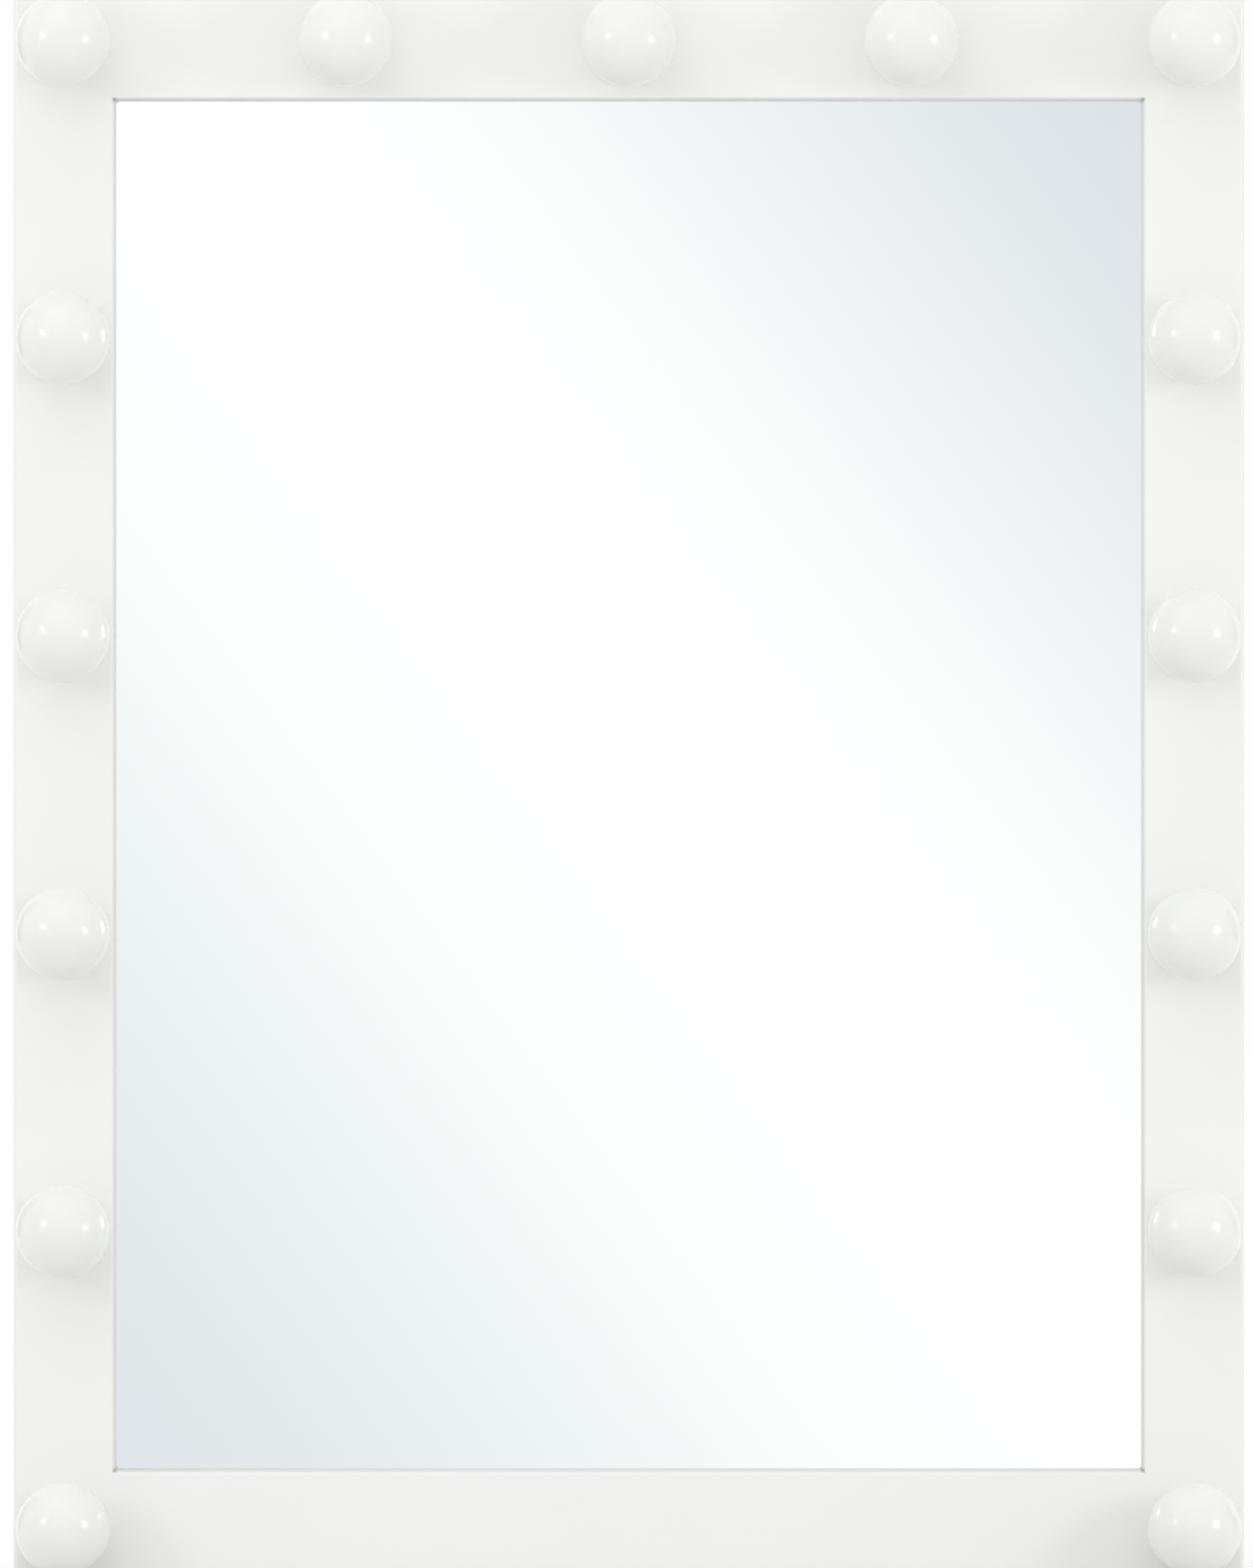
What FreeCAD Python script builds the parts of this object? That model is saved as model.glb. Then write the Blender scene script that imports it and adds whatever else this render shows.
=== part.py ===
# A vanity mirror with fifteen screw-in globe lamps round a folded steel frame. It hangs on a wall
# from two keyholes, stands on its two base pads, or leans on the wire stand folded against its back.
#
# X runs to the right as the user sees the mirror, Y from the front to the back and Z up. The origin
# is at the bottom centre of the whole object. Depths are measured backwards from the front face of
# the frame, which lies at Y = face_y, so a depth is negative in front of the face.
import FreeCAD, Part
import math
import os

from FreeCAD import Vector

X_AXIS = Vector(1, 0, 0)
Y_AXIS = Vector(0, 1, 0)
Z_AXIS = Vector(0, 0, 1)

# ---- Driving dimensions, in millimetres ----

# frame: a tray folded from sheet steel, open at the back
frame_w = 500.0
frame_h = 650.0
sheet_t = 1.0
bend_r = 2.0                # outside radius of every fold
lip_depth = 7.0             # return lip round the mirror opening
rear_flange_w = 14.0        # return flange that carries the rear cover
window_corner_r = 1.5

# mirror and what holds it
glass_t = 3.0
glass_overlap = 6.0         # glass hidden behind the frame on each side
glass_arris = 0.5
gasket_t = 1.0
gasket_w = 5.0
board_t = 3.0
clip_t = 1.0
clip_w = 16.0
clip_foot = 16.0
clip_reach = 9.0            # how far a clip's arm lies over the backing board
clip_gap = 0.8              # from the glass edge to a clip's upright
stud_r = 2.0
stud_len = 7.0
nut_af = 7.0
nut_t = 3.2

# lamps
lamps_up_side = 6
lamps_across_top = 5
globe_r = 19.0
globe_t = 1.2
collar_drop = 12.3          # from the globe's centre to its joint with the collar
collar_cone_h = 4.0
collar_t = 2.4
neck_r = 8.4
neck_in = 1.6               # how far the neck passes the front face
led_board_t = 1.0
led_size = 2.8
led_h = 0.8
leds_per_lamp = 6
led_ring_r = 7.5
cap_r = 6.95                # E14 screw cap, outside the thread
cap_thread_h = 0.6
cap_pitch = 2.82
cap_turns = 5
cap_wall = 0.5
insulator_h = 3.0
insulator_end_r = 3.2
tip_r = 2.4
tip_h = 1.6
tip_end_r = 1.4

# lampholders
ring_r = 17.5
ring_h = 4.0
ring_round = 1.2
nose_r = 12.8
shoulder_r = 15.5
shoulder_h = 3.0
holder_body_r = 13.5
holder_side_gap = 1.25      # from a lampholder to the glass edge, at the sides
holder_end_gap = 4.0        # the same, at the top and bottom
holder_floor_t = 3.0
holder_chamber_h = 8.0      # room behind the threaded shell for the centre contact
shell_wall = 0.6
shell_len = 17.0
contact_r = 3.5
contact_t = 0.8
contact_post_r = 1.5
terminal_w = 16.0
terminal_h = 10.0
terminal_t = 5.0
terminal_screw_r = 1.6
terminal_screw_x = 5.0
shell_from_face = 1.5       # from the face's inner side to the shell's mouth

# fits
slide_gap = 0.3             # between a lamp's cap and its threaded shell
seat_gap = 0.05             # between pieces pressed or screwed together
over = 1.0                  # how far a cut runs past what it cuts
touch_gap = 0.3             # between faces that meet or pass without rubbing
neck_gap = 0.5              # round and in front of a lamp's neck

# wiring
cable_r = 2.0
cable_bend_r = 14.0
lead_r = 1.2
lead_bend_r = 2.6
lead_apart = 9.0            # between the switch's two leads, and from the case to a lead's turn
feed_out = 17.0             # from the last terminal to the feed's drop
feed_bend_r = 8.0
cable_tail = 6.0            # cable past the middle of the last lampholder
cable_clip_t = 1.4
cable_clip_w = 10.0
cable_clip_in = 2.5         # from a clip's base to the frame's side wall
cable_room = 2.8            # between the cable and the inner face of the rear flange

# rear cover
cover_t = 0.8
cover_inset = 1.5
cover_corner_r = 3.0
screw_r = 1.5
screw_len = 7.0
screw_head_r = 3.0
screw_head_h = 1.8
screw_recess = 1.0
screw_slot_w = 0.9
screw_slot_len = 3.8
screw_top_r = 1.8
screw_edge = 8.0            # from the frame's edge to a cover screw
vent_w = 3.0
vent_h = 30.0
vent_corner_r = 1.4
vent_pitch = 9.0
vents_in_row = 11
vent_low_z = 165.0
vent_high_drop = 90.0       # from the top of the frame to the upper row of vents

# keyholes for the wall
keyhole_x = 150.0
keyhole_drop = 90.0         # from the top of the frame to the round part
keyhole_r = 4.5
keyhole_slot_r = 2.3
keyhole_slot_len = 11.0
keyhole_plate_w = 36.0
keyhole_plate_h = 40.0
keyhole_plate_t = 1.5
keyhole_plate_r = 3.0

# rubber
pad_t = 2.5
pad_w = 60.0
pad_edge = 3.0              # from a pad to the frame's front and back edges
pad_corner_r = 4.0
pad_x = 190.0
bumper_r = 8.0
bumper_h = 15.0
bumper_edge = 40.0
bumper_taper = 1.5

# wire stand
stand_x = 130.0
stand_wire_r = 3.0
stand_pivot_z = 430.0
stand_foot_z = 16.0
stand_pin_len = 16.0        # inward from a leg's centre
stand_top_bend = 6.0
stand_foot_bend = 22.0
sleeve_r = 5.0
sleeve_len = 44.0
sleeve_x = 80.0
sleeve_gap = 0.3            # between a sleeve and the rear cover
stand_open_deg = 25.0
ear_t = 2.0
ear_gap = 0.4               # between a leg's bend and its bracket
bracket_t = 1.5
bracket_w = 24.0
bracket_up = 16.0
bracket_down = 24.0
stop_gap = 0.3              # between the open leg and its stop
stop_t = 1.5
stop_w = 4.0
rivet_r = 2.0
rivet_head_r = 3.6
rivet_head_h = 1.0
rivet_tail_r = 2.8
rivet_tail_h = 1.5
rivet_edge = 6.0

# controls on the rear cover, one above another
control_x = 176.0
inlet_z = 52.0
switch_z = 84.0
dimmer_z = 124.0

# rocker switch
switch_bezel_w = 15.0
switch_bezel_h = 21.0
switch_bezel_t = 1.8
switch_corner_r = 1.0
switch_body_w = 12.8
switch_body_h = 18.8
switch_body_depth = 14.0
switch_well_w = 11.0
rocker_r = 8.0
rocker_gap = 0.3
rocker_pivot = 4.0          # pivot's depth below the bezel's face
rocker_half_deg = 12.0
rocker_under = 2.0          # rocker below its pivot
rocker_pin_r = 1.2
rocker_pin_gap = 0.1
rocker_pin_len = 0.8

# dimmer
pot_r = 8.5
pot_t = 9.0
pot_floor_t = 2.0
bush_r = 3.6
bush_len = 4.2              # outside the pot's body
shaft_r = 2.6
shaft_gap = 0.08
panel_nut_af = 11.0
panel_nut_t = 2.0
knob_r = 10.0
knob_h = 9.0
knob_lift = 0.6             # between the knob and the rear cover
knob_wall = 2.0
knob_hollow = 3.4           # room for the nut and bush under the knob
knob_bore_in = 7.0
knob_flutes = 18
knob_flute_r = 0.8
knob_round = 1.5
pointer_w = 1.2
pointer_depth = 0.5

# power inlet: a 5.5 x 2.1 mm direct-current socket
inlet_flange_r = 6.5
inlet_flange_t = 2.0
inlet_barrel_r = 4.0
inlet_barrel_len = 9.0
inlet_body_r = 5.2
inlet_body_len = 8.0
inlet_bore_r = 3.1
inlet_bore_len = 11.0
inlet_pin_r = 1.0
inlet_pin_short = 1.0       # pin end below the flange's face

# dimmer electronics
case_w = 80.0
case_h = 50.0
case_t = 22.0
case_wall = 2.0
case_x = 98.0
case_z = 98.0
lid_t = 1.6
circuit_t = 1.6
circuit_gap = 0.5
circuit_post_r = 2.5
circuit_post_h = 3.0
circuit_post_in = 8.0       # from the case's outer edges
capacitor_r = 5.0
capacitor_h = 11.0
coil_r = 6.5
coil_bore_r = 2.5
coil_h = 6.0
chip_size = 9.0
chip_h = 1.6
heat_sink_w = 10.0
heat_sink_h = 9.0

# ---- Derived places ----

border_x = 2 * (holder_body_r + holder_side_gap + glass_overlap)
border_z = 2 * (holder_body_r + holder_end_gap + glass_overlap)
window_w = frame_w - 2 * border_x
window_h = frame_h - 2 * border_z
frame_low = pad_t
frame_top = frame_low + frame_h
middle_z = frame_low + frame_h / 2
lamp_x = frame_w / 2 - border_x / 2
lamp_low = frame_low + border_z / 2
lamp_high = frame_top - border_z / 2

# depths of the lamp and lampholder
neck_d = -(ring_h + neck_gap)
joint_d = neck_d - collar_cone_h
globe_d = joint_d - collar_drop
collar_r = math.sqrt(globe_r**2 - collar_drop**2)
globe_in_r = math.sqrt((globe_r - globe_t) ** 2 - collar_drop**2)
cap_end_d = neck_in + cap_pitch * cap_turns
tip_end_d = cap_end_d + insulator_h + tip_h
shell_in_r = cap_r + slide_gap
shell_d = sheet_t + shell_from_face
shell_end_d = shell_d + shell_len
contact_d = tip_end_d + touch_gap
chamber_end_d = shell_end_d + holder_chamber_h
holder_end_d = chamber_end_d + holder_floor_t
terminal_end_d = holder_end_d + terminal_t
cable_d = terminal_end_d + cable_r
tray_depth = cable_d + cable_r + cable_room + sheet_t
cover_d = tray_depth + cover_t

# depths of the mirror
glass_d = lip_depth + gasket_t
board_d = glass_d + glass_t
board_end_d = board_d + board_t
glass_w = window_w + 2 * glass_overlap
glass_h = window_h + 2 * glass_overlap

# the whole object's depth is centred on Y = 0
front_reach = globe_r - globe_d
back_reach = cover_d + bumper_h
face_y = (front_reach - back_reach) / 2

stand_d = cover_d + sleeve_r + sleeve_gap
ear_x1 = stand_x - stand_top_bend - ear_gap
ear_x0 = ear_x1 - ear_t
bezel_d = cover_d + switch_bezel_t
rocker_d = bezel_d - rocker_pivot
knob_d = cover_d + knob_lift
case_low = case_z - case_h / 2
case_high = case_z + case_h / 2
case_left = case_x - case_w / 2
case_right = case_x + case_w / 2


# ---- Helpers ----

def block(x0, x1, d0, d1, z0, z1):
    """A box between two X values, two depths and two heights."""
    return Part.makeBox(x1 - x0, d1 - d0, z1 - z0, Vector(x0, face_y + d0, z0))


def rod(x, z, r, d0, d1):
    """A cylinder along the depth."""
    return Part.makeCylinder(r, d1 - d0, Vector(x, face_y + d0, z), Y_AXIS)


def cross_rod(x0, x1, d, z, r):
    """A cylinder along X."""
    return Part.makeCylinder(r, x1 - x0, Vector(x0, face_y + d, z), X_AXIS)


def plate(w, h, r, d0, d1, x=0.0, z=None):
    """A slab across the depth, w by h, centred on x and z, with corners of radius r."""
    z = middle_z if z is None else z
    slab = block(x - w / 2, x + w / 2, d0, d1, z - h / 2, z + h / 2)
    if r <= 0:
        return slab
    return slab.makeFillet(r, [e for e in slab.Edges if runs_back(e)])


def runs_back(edge):
    """True for an edge along the depth."""
    a, b = edge.Vertexes[0].Point, edge.Vertexes[-1].Point
    return abs(a.x - b.x) < 1e-6 and abs(a.z - b.z) < 1e-6 and abs(a.y - b.y) > 1e-6


def at_depth(edge, d):
    """True for an edge that lies wholly at one depth."""
    box = edge.BoundBox
    return abs(box.YMin - face_y - d) < 1e-4 and abs(box.YMax - face_y - d) < 1e-4


def within(edge, w, h):
    """True for an edge inside a w by h rectangle about the mirror's middle."""
    box = edge.BoundBox
    return max(-box.XMin, box.XMax) < w / 2 and max(middle_z - box.ZMin, box.ZMax - middle_z) < h / 2


def lathe(points, x=0.0, z=0.0):
    """Turns a closed outline about the depth line through x and z. A point is (radius, depth), and a
    third value bows the edge that leads to it outwards by that much."""
    pairs = list(zip(points[-1:] + points[:-1], points))
    area = sum(a[0] * b[1] - b[0] * a[1] for a, b in pairs)
    edges = []
    for before, after in pairs:
        a, b = Vector(before[0], face_y + before[1], 0), Vector(after[0], face_y + after[1], 0)
        if len(after) == 3:
            outward = (b - a).cross(Z_AXIS).normalize() * math.copysign(after[2], area)
            edges.append(Part.Arc(a, (a + b) * 0.5 + outward, b).toShape())
        else:
            edges.append(Part.LineSegment(a, b).toShape())
    solid = Part.Face(Part.Wire(edges)).revolve(Vector(0, 0, 0), Y_AXIS, 360)
    solid.translate(Vector(x, 0, z))
    return solid


def round_bow(r):
    """The bow of a quarter-round of radius r between its two ends."""
    return r * (1 - math.sqrt(0.5))


def dome_bow(r, h):
    """The bow of a dome's side, from its rim of radius r to its top at height h."""
    sphere_r = (r**2 + h**2) / (2 * h)
    return sphere_r * (1 - math.cos(math.asin(r / sphere_r) / 2))


def copies(shape, places):
    """The shape moved to each (x, z)."""
    made = []
    for x, z in places:
        one = shape.copy()
        one.translate(Vector(x, 0, z))
        made.append(one)
    return made


def tube(points, r, bends):
    """A round bar of radius r along straight runs joined by tangent arcs. bends holds one radius for
    each inner point."""
    edges = []
    start = points[0]
    for before, corner, after, bend in zip(points, points[1:], points[2:], bends):
        into = (corner - before).normalize()
        out = (after - corner).normalize()
        half = into.getAngle(out) / 2
        back = bend * math.tan(half)
        a, b = corner - into * back, corner + out * back
        inward = (out - into).normalize()
        middle = corner + inward * (bend / math.cos(half) - bend)
        edges.append(Part.LineSegment(start, a).toShape())
        edges.append(Part.Arc(a, middle, b).toShape())
        start = b
    edges.append(Part.LineSegment(start, points[-1]).toShape())
    path = Part.Wire(edges)
    profile = Part.Wire(Part.Circle(points[0], points[1] - points[0], r).toShape())
    return path.makePipeShell([profile], True, False)


def place(x, d, z):
    """The point at x, depth d and z."""
    return Vector(x, face_y + d, z)


def hexagon(x, z, across_flats, d0, d1):
    """A hexagonal prism along the depth."""
    radius = across_flats / math.sqrt(3)
    corners = [
        place(x + radius * math.cos(math.radians(a)), d0, z + radius * math.sin(math.radians(a)))
        for a in range(0, 361, 60)
    ]
    return Part.Face(Part.makePolygon(corners)).extrude(Vector(0, d1 - d0, 0))


def lamp_places():
    """(x, z) of each lamp: up the left side, across the top and down the right side."""
    rise = (lamp_high - lamp_low) / (lamps_up_side - 1)
    step = 2 * lamp_x / (lamps_across_top - 1)
    left = [(-lamp_x, lamp_low + rise * i) for i in range(lamps_up_side)]
    top = [(-lamp_x + step * i, lamp_high) for i in range(1, lamps_across_top - 1)]
    right = [(lamp_x, z) for x, z in reversed(left)]
    return left + top + right


def between_lamps():
    """(x, z, outward x, outward z) half-way between each lamp and the next."""
    spots = lamp_places()
    found = []
    for (xa, za), (xb, zb) in zip(spots, spots[1:]):
        x, z = (xa + xb) / 2, (za + zb) / 2
        side = xa == xb
        found.append((x, z, math.copysign(1, x) if side else 0, 0 if side else 1))
    return found


# ---- Frame ----

def cover_screw_places():
    """(x, z) of the rear cover's screws: the corners, and level with every lamp between them."""
    x, low, high = frame_w / 2 - screw_edge, frame_low + screw_edge, frame_top - screw_edge
    levels = sorted({z for lx, z in lamp_places() if lamp_low < z < lamp_high})
    across = [lx for lx, z in lamp_places() if abs(lx) < lamp_x]
    sides = [(side * x, z) for side in (-1, 1) for z in [low, high] + levels]
    ends = [(lx, z) for lx in across for z in (low, high)]
    return sides + ends


def front_frame():
    """Folded tray: face, side walls, return lip round the mirror and return flange at the back."""
    inner_r = bend_r - sheet_t
    body = plate(frame_w, frame_h, 0, 0, tray_depth)
    body = body.makeFillet(bend_r, [e for e in body.Edges if runs_back(e) or at_depth(e, 0)])
    body = body.cut(plate(window_w, window_h, window_corner_r, -over, tray_depth + over))
    rim = [e for e in body.Edges if at_depth(e, 0) and within(e, window_w + 1, window_h + 1)]
    body = body.makeFillet(bend_r, rim)

    room = plate(frame_w - 2 * sheet_t, frame_h - 2 * sheet_t, 0, sheet_t, tray_depth - sheet_t)
    room = room.makeFillet(inner_r, [e for e in room.Edges if runs_back(e) or at_depth(e, sheet_t)])
    lip_w, lip_h = window_w + 2 * sheet_t, window_h + 2 * sheet_t
    room = room.cut(plate(lip_w, lip_h, window_corner_r + sheet_t, 0, lip_depth))
    fold = [e for e in room.Edges if at_depth(e, sheet_t) and within(e, lip_w + 1, lip_h + 1)]
    room = room.makeFillet(inner_r, fold)
    body = body.cut(room)

    back_w, back_h = frame_w - 2 * rear_flange_w, frame_h - 2 * rear_flange_w
    body = body.cut(plate(back_w, back_h, bend_r, lip_depth + over, tray_depth + over))
    holes = [rod(x, z, nose_r + touch_gap, -over, sheet_t + over) for x, z in lamp_places()]
    d0, d1 = tray_depth - sheet_t - over, tray_depth + over
    holes += [rod(x, z, screw_r + seat_gap, d0, d1) for x, z in cover_screw_places()]
    return body.cut(Part.makeCompound(holes))


def lip_gasket():
    """Flat foam strip between the frame's lip and the glass."""
    ring = plate(window_w + 2 * gasket_w, window_h + 2 * gasket_w, window_corner_r, lip_depth, glass_d)
    return ring.cut(plate(window_w, window_h, window_corner_r, lip_depth - over, glass_d + over))


def mirror_glass():
    """Silvered float glass with ground edges."""
    sheet = plate(glass_w, glass_h, 0, glass_d, board_d)
    return sheet.makeChamfer(glass_arris, sheet.Edges)


def backing_board():
    """Hardboard sheet behind the glass."""
    return plate(glass_w, glass_h, 0, board_d, board_end_d)


def clip_places():
    """(x, z, outward x, outward z) at the glass edge for each clip: three a side and two at each end."""
    x, low, high = glass_w / 2, middle_z - glass_h / 2, middle_z + glass_h / 2
    middles = between_lamps()
    levels = [z for mx, z, ux, uz in middles if ux == -1][::2]
    across = [mx for mx, z, ux, uz in middles if uz == 1]
    spread = [across[0], across[-1]]
    sides = [(s * x, z, s, 0) for s in (-1, 1) for z in levels]
    ends = [(mx, z, 0, u) for mx in spread for z, u in ((low, -1), (high, 1))]
    return sides + ends


def outward(shape, x, z, ux, uz):
    """Turns a shape made at the origin, with outward along +X, to face (ux, uz) at x and z."""
    turned = shape.copy()
    turned.rotate(Vector(0, 0, 0), Y_AXIS, -math.degrees(math.atan2(uz, ux)))
    turned.translate(Vector(x, 0, z))
    return turned


def mirror_clips():
    """Z-shaped steel clips that press the board and glass against the lip."""
    upright = block(clip_gap, clip_gap + clip_t, sheet_t, board_end_d + clip_t, -clip_w / 2, clip_w / 2)
    arm = block(-clip_reach, clip_gap + clip_t, board_end_d, board_end_d + clip_t, -clip_w / 2, clip_w / 2)
    foot = block(clip_gap, clip_gap + clip_foot, sheet_t, sheet_t + clip_t, -clip_w / 2, clip_w / 2)
    clip = upright.fuse([arm, foot]).removeSplitter()
    stud_at = clip_gap + clip_foot / 2
    clip = clip.cut(rod(stud_at, 0, stud_r + touch_gap, 0, sheet_t + clip_t + over))
    return Part.makeCompound([outward(clip, *p) for p in clip_places()])


def clip_studs():
    """Weld stud and hexagon nut of each mirror clip."""
    stud_at = clip_gap + clip_foot / 2
    stud = rod(stud_at, 0, stud_r, sheet_t, sheet_t + stud_len)
    nut_d = sheet_t + clip_t
    nut = hexagon(stud_at, 0, nut_af, nut_d, nut_d + nut_t)
    nut = nut.cut(rod(stud_at, 0, stud_r + seat_gap, nut_d - over, nut_d + nut_t + over))
    return Part.makeCompound([outward(s, *p) for p in clip_places() for s in (stud, nut)])


# ---- Lampholders ----

def lampholder_ring():
    """Shade ring screwed on the lampholder's nose in front of the face."""
    bore = nose_r + seat_gap
    return lathe([
        (bore, 0),
        (ring_r, 0),
        (ring_r, -ring_h + ring_round),
        (ring_r - ring_round, -ring_h, round_bow(ring_round)),
        (bore, -ring_h),
    ])


def lampholder_housing():
    """Moulded lampholder: nose through the face, shoulder behind it, body and terminal block."""
    entry_r = neck_r + neck_gap
    seat_r = shell_in_r + shell_wall + seat_gap
    chamber_r = shell_in_r - shell_wall
    body = lathe([
        (0, holder_end_d),
        (0, chamber_end_d),
        (chamber_r, chamber_end_d),
        (chamber_r, shell_end_d),
        (seat_r, shell_end_d),
        (seat_r, shell_d),
        (entry_r, shell_d),
        (entry_r, -ring_h + ring_round),
        (nose_r, -ring_h + ring_round),
        (nose_r, sheet_t),
        (shoulder_r, sheet_t),
        (shoulder_r, sheet_t + shoulder_h),
        (holder_body_r, sheet_t + shoulder_h),
        (holder_body_r, holder_end_d),
    ])
    terminal = block(
        -terminal_w / 2, terminal_w / 2, holder_end_d, terminal_end_d, -terminal_h / 2, terminal_h / 2
    )
    body = body.fuse(terminal).removeSplitter()
    d0, d1 = holder_end_d + over, terminal_end_d + over
    for side in (-1, 1):
        body = body.cut(rod(side * terminal_screw_x, 0, terminal_screw_r, d0, d1))
    return body


def lampholder_contacts(places):
    """Threaded shell and sprung centre contact of each lampholder."""
    shell = lathe([
        (shell_in_r, shell_d),
        (shell_in_r, shell_end_d),
        (shell_in_r + shell_wall, shell_end_d),
        (shell_in_r + shell_wall, shell_d),
    ])
    contact = lathe([
        (0, contact_d),
        (contact_r, contact_d),
        (contact_r, contact_d + contact_t),
        (contact_post_r, contact_d + contact_t),
        (contact_post_r, chamber_end_d),
        (0, chamber_end_d),
    ])
    return Part.makeCompound(copies(shell, places) + copies(contact, places))


# ---- Lamps ----

def bulb_globe():
    """Opal globe, open at its joint with the collar."""
    outer = Part.makeSphere(globe_r, place(0, globe_d, 0))
    inner = Part.makeSphere(globe_r - globe_t, place(0, globe_d, 0))
    side = 2 * globe_r
    behind = block(-side, side, joint_d, joint_d + side, -side, side)
    return outer.cut(inner).cut(behind)


def led_board():
    """Round circuit board with its light-emitting diodes, on the collar's rim inside the globe."""
    board = rod(0, 0, globe_in_r - touch_gap, joint_d - led_board_t, joint_d)
    top = joint_d - led_board_t
    chips = []
    for i in range(leds_per_lamp):
        chip = block(-led_size / 2, led_size / 2, top - led_h, top, -led_size / 2, led_size / 2)
        chip.translate(Vector(led_ring_r, 0, 0))
        chip.rotate(Vector(0, 0, 0), Y_AXIS, 360 / leds_per_lamp * i)
        chips.append(chip)
    return board.fuse(chips).removeSplitter()


def screw_cap():
    """E14 screw cap. Its rounded thread is cut as rings."""
    root_r = cap_r - cap_thread_h
    half = cap_pitch / 2
    points = [(root_r - cap_wall, neck_in), (root_r, neck_in)]
    for i in range(cap_turns):
        d = neck_in + cap_pitch * i
        points.append((root_r, d + half, cap_thread_h))
        points.append((root_r, d + cap_pitch))
    points.append((root_r - cap_wall, cap_end_d))
    return lathe(points)


def bulb_base():
    """Collar, circuit board, screw cap, insulator and tip of one lamp."""
    collar = lathe([
        (collar_r - collar_t, joint_d),
        (collar_r, joint_d),
        (neck_r, neck_d),
        (neck_r, neck_in),
        (neck_r - collar_t, neck_in),
        (neck_r - collar_t, neck_d),
    ])
    cap_in_r = cap_r - cap_thread_h
    insulator = lathe([
        (0, cap_end_d),
        (cap_in_r, cap_end_d),
        (insulator_end_r, cap_end_d + insulator_h),
        (0, cap_end_d + insulator_h),
    ])
    tip_d = cap_end_d + insulator_h
    tip = lathe([
        (0, tip_d),
        (tip_r, tip_d),
        (tip_r, tip_d + tip_h / 2),
        (tip_end_r, tip_d + tip_h),
        (0, tip_d + tip_h),
    ])
    return [collar, led_board(), screw_cap(), insulator, tip]


# ---- Wiring ----

def lamp_cable():
    """Cable behind the lampholders' terminals, from the lowest on the left round to the lowest on the
    right."""
    low = lamp_low - cable_tail
    loop = [
        place(-lamp_x, cable_d, low),
        place(-lamp_x, cable_d, lamp_high),
        place(lamp_x, cable_d, lamp_high),
        place(lamp_x, cable_d, low),
    ]
    return tube(loop, cable_r, [cable_bend_r, cable_bend_r])


def feed_cable():
    """Cable from the dimmer's case to the terminal of the lowest lampholder on the right."""
    feed_d = holder_end_d + terminal_t / 2
    feed_z = (switch_z + switch_bezel_h / 2 + dimmer_z - pot_r) / 2
    terminal_x = lamp_x - terminal_w / 2
    drop_x = terminal_x - feed_out
    feed = [
        place(case_right, feed_d, feed_z),
        place(drop_x, feed_d, feed_z),
        place(drop_x, feed_d, lamp_low),
        place(terminal_x, feed_d, lamp_low),
    ]
    return tube(feed, cable_r, [feed_bend_r, feed_bend_r])


def control_leads():
    """Leads from the power inlet to the switch, and from the switch and the control to the case."""
    inlet_d = cover_d - inlet_barrel_len - inlet_body_len
    switch_d = bezel_d - switch_body_depth
    pot_d = tray_depth - pot_t / 2
    bend = lead_bend_r
    up, down = switch_z + lead_apart / 2, switch_z - lead_apart / 2
    turn_x = case_right + lead_apart
    entry_z = case_high - lead_apart
    return [
        tube([
            place(control_x, inlet_d, inlet_z),
            place(control_x, inlet_d - 2 * bend, inlet_z),
            place(control_x, inlet_d - 2 * bend, down),
            place(control_x, switch_d, down),
        ], lead_r, [bend, bend]),
        tube([
            place(control_x, switch_d, up),
            place(control_x, switch_d - 2 * bend, up),
            place(case_right, switch_d - 2 * bend, up),
        ], lead_r, [bend]),
        tube([
            place(control_x - pot_r, pot_d, dimmer_z),
            place(turn_x, pot_d, dimmer_z),
            place(turn_x, pot_d, entry_z),
            place(case_right, pot_d, entry_z),
        ], lead_r, [bend, bend]),
    ]


def cable_clips():
    """Stick-on clips under the rear flange that hold the cable between lampholders."""
    made = []
    half = cable_clip_w / 2
    under = tray_depth - sheet_t
    reach = frame_w / 2 - lamp_x - sheet_t - cable_clip_in
    base = block(-cable_r, reach, under - cable_clip_t, under, -half, half)
    ring = Part.makeCylinder(cable_r + cable_clip_t, cable_clip_w, place(0, cable_d, -half), Z_AXIS)
    stem = block(-cable_r, cable_r, cable_d, under - cable_clip_t, -half, half)
    hole = Part.makeCylinder(cable_r + seat_gap, cable_clip_w, place(0, cable_d, -half), Z_AXIS)
    clip = base.fuse([ring, stem]).removeSplitter().cut(hole)
    for x, z, ux, uz in between_lamps():
        made.append(outward(clip, x, z, ux, uz))
    return Part.makeCompound(made)


def driver_case():
    """Moulded tray for the dimmer circuit, taped to the backing board."""
    end = board_end_d + case_t
    case = block(case_left, case_right, board_end_d, end, case_low, case_high)
    room = block(
        case_left + case_wall, case_right - case_wall, board_end_d + case_wall, end + over,
        case_low + case_wall, case_high - case_wall,
    )
    case = case.cut(room)
    posts = [
        rod(x, z, circuit_post_r, board_end_d + case_wall, board_end_d + case_wall + circuit_post_h)
        for x in (case_left + circuit_post_in, case_right - circuit_post_in)
        for z in (case_low + circuit_post_in, case_high - circuit_post_in)
    ]
    return case.fuse(posts).removeSplitter()


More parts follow.
